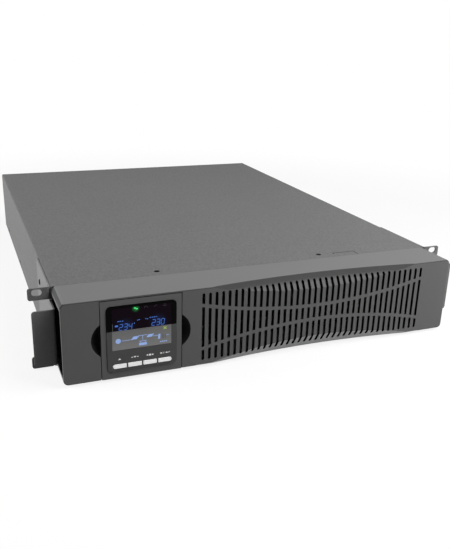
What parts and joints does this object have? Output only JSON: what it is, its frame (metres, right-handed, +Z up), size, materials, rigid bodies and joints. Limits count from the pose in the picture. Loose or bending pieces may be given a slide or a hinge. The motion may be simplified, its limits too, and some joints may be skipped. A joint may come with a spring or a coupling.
{
  "type": "uninterruptible power supply",
  "caption": "Flat rack-mount power supply with folded steel case, louvred bezel, pull-out display module, rack ears, battery pack, fans and rear outlets.",
  "frame": {"origin": "middle of the footprint over the ears and fittings, on the surface the unit stands on", "axes": "+Z up; the front with the display and the grille faces -Y; +X is to the right seen from the front"},
  "size_m": [0.4826, 0.6062, 0.0865],
  "materials": {
    "painted_steel": "fine powder coat",
    "bezel_plastic": "fine mould texture",
    "black_gloss": "gloss film",
    "screen_glass": "gloss display window",
    "key_white": "satin",
    "black_plastic": "matte",
    "black_screw": "black oxide",
    "zinc_steel": "zinc plated",
    "circuit_board": "solder mask",
    "aluminium": "extruded",
    "copper_winding": "enamelled copper wire",
    "battery_case": "moulded",
    "capacitor_sleeve": "shrink sleeve",
    "terminal_green": "moulded",
    "red_button": "moulded"
  },
  "bodies": {
    "case": {"base_tray": "painted_steel", "top_cover": "painted_steel", "front_bulkhead": "zinc_steel", "rear_panel": "painted_steel", "battery_door": "zinc_steel", "front_bezel": "bezel_plastic", "rack_ear_right": "painted_steel", "rack_ear_left": "painted_steel", "cover_screw_1": "black_screw", "cover_screw_2": "black_screw", "side_screw_left_1": "black_screw", "side_screw_left_2": "black_screw", "side_screw_right_1": "black_screw", "side_screw_right_2": "black_screw", "battery_tray": "zinc_steel", "battery_1": "battery_case", "battery_2": "battery_case", "battery_3": "battery_case", "battery_4": "battery_case", "battery_5": "battery_case", "battery_6": "battery_case", "main_board": "circuit_board", "filter_board": "circuit_board", "heatsink_front": "aluminium", "heatsink_rear": "aluminium", "bus_capacitor_1": "capacitor_sleeve", "bus_capacitor_2": "capacitor_sleeve", "bus_capacitor_3": "capacitor_sleeve", "boost_choke": "copper_winding", "output_choke": "copper_winding", "filter_choke": "copper_winding", "charger_transformer": "black_plastic", "bus_transformer": "black_plastic", "control_board": "circuit_board", "fan_1_frame": "black_plastic", "fan_2_frame": "black_plastic", "outlet_block_lower": "black_plastic", "outlet_block_upper": "black_plastic", "outlet_large": "black_plastic", "mains_inlet": "black_plastic", "serial_port": "zinc_steel", "usb_port": "zinc_steel", "epo_terminal": "terminal_green", "battery_port": "black_plastic", "breaker_body": "black_plastic", "slot_cover": "painted_steel", "slot_screw_left": "zinc_steel", "slot_screw_right": "zinc_steel"},
    "display": {"display_housing": "bezel_plastic", "display_overlay": "black_gloss", "display_screen": "screen_glass", "display_board": "circuit_board", "display_back": "black_plastic"},
    "key_1": {"display_key_1": "key_white"},
    "key_2": {"display_key_2": "key_white"},
    "key_3": {"display_key_3": "key_white"},
    "key_4": {"display_key_4": "key_white"},
    "fan_rotor_1": {"fan_1_rotor": "black_plastic"},
    "fan_rotor_2": {"fan_2_rotor": "black_plastic"},
    "breaker": {"breaker_button": "red_button"}
  },
  "joints": [
    {"name": "display_pull", "type": "slide", "parent": "case", "child": "display", "axis": [0, -1, 0], "range_m": [0, 0.02]},
    {"name": "key_1_press", "type": "slide", "parent": "display", "child": "key_1", "axis": [0, 1, 0], "range_m": [0, 0.0008], "stiffness_N_per_m": 500, "springref_m": -0.0004},
    {"name": "key_2_press", "type": "slide", "parent": "display", "child": "key_2", "axis": [0, 1, 0], "range_m": [0, 0.0008], "stiffness_N_per_m": 500, "springref_m": -0.0004},
    {"name": "key_3_press", "type": "slide", "parent": "display", "child": "key_3", "axis": [0, 1, 0], "range_m": [0, 0.0008], "stiffness_N_per_m": 500, "springref_m": -0.0004},
    {"name": "key_4_press", "type": "slide", "parent": "display", "child": "key_4", "axis": [0, 1, 0], "range_m": [0, 0.0008], "stiffness_N_per_m": 500, "springref_m": -0.0004},
    {"name": "fan_1_spin", "type": "hinge", "parent": "case", "child": "fan_rotor_1", "pos_m": [-0.17203, 0.2814, 0.04325], "axis": [0, 1, 0], "continuous": true},
    {"name": "fan_2_spin", "type": "hinge", "parent": "case", "child": "fan_rotor_2", "pos_m": [-0.08903, 0.2814, 0.04325], "axis": [0, 1, 0], "continuous": true},
    {"name": "breaker_trip", "type": "slide", "parent": "case", "child": "breaker", "axis": [0, 1, 0], "range_m": [0, 0.003]}
  ]
}
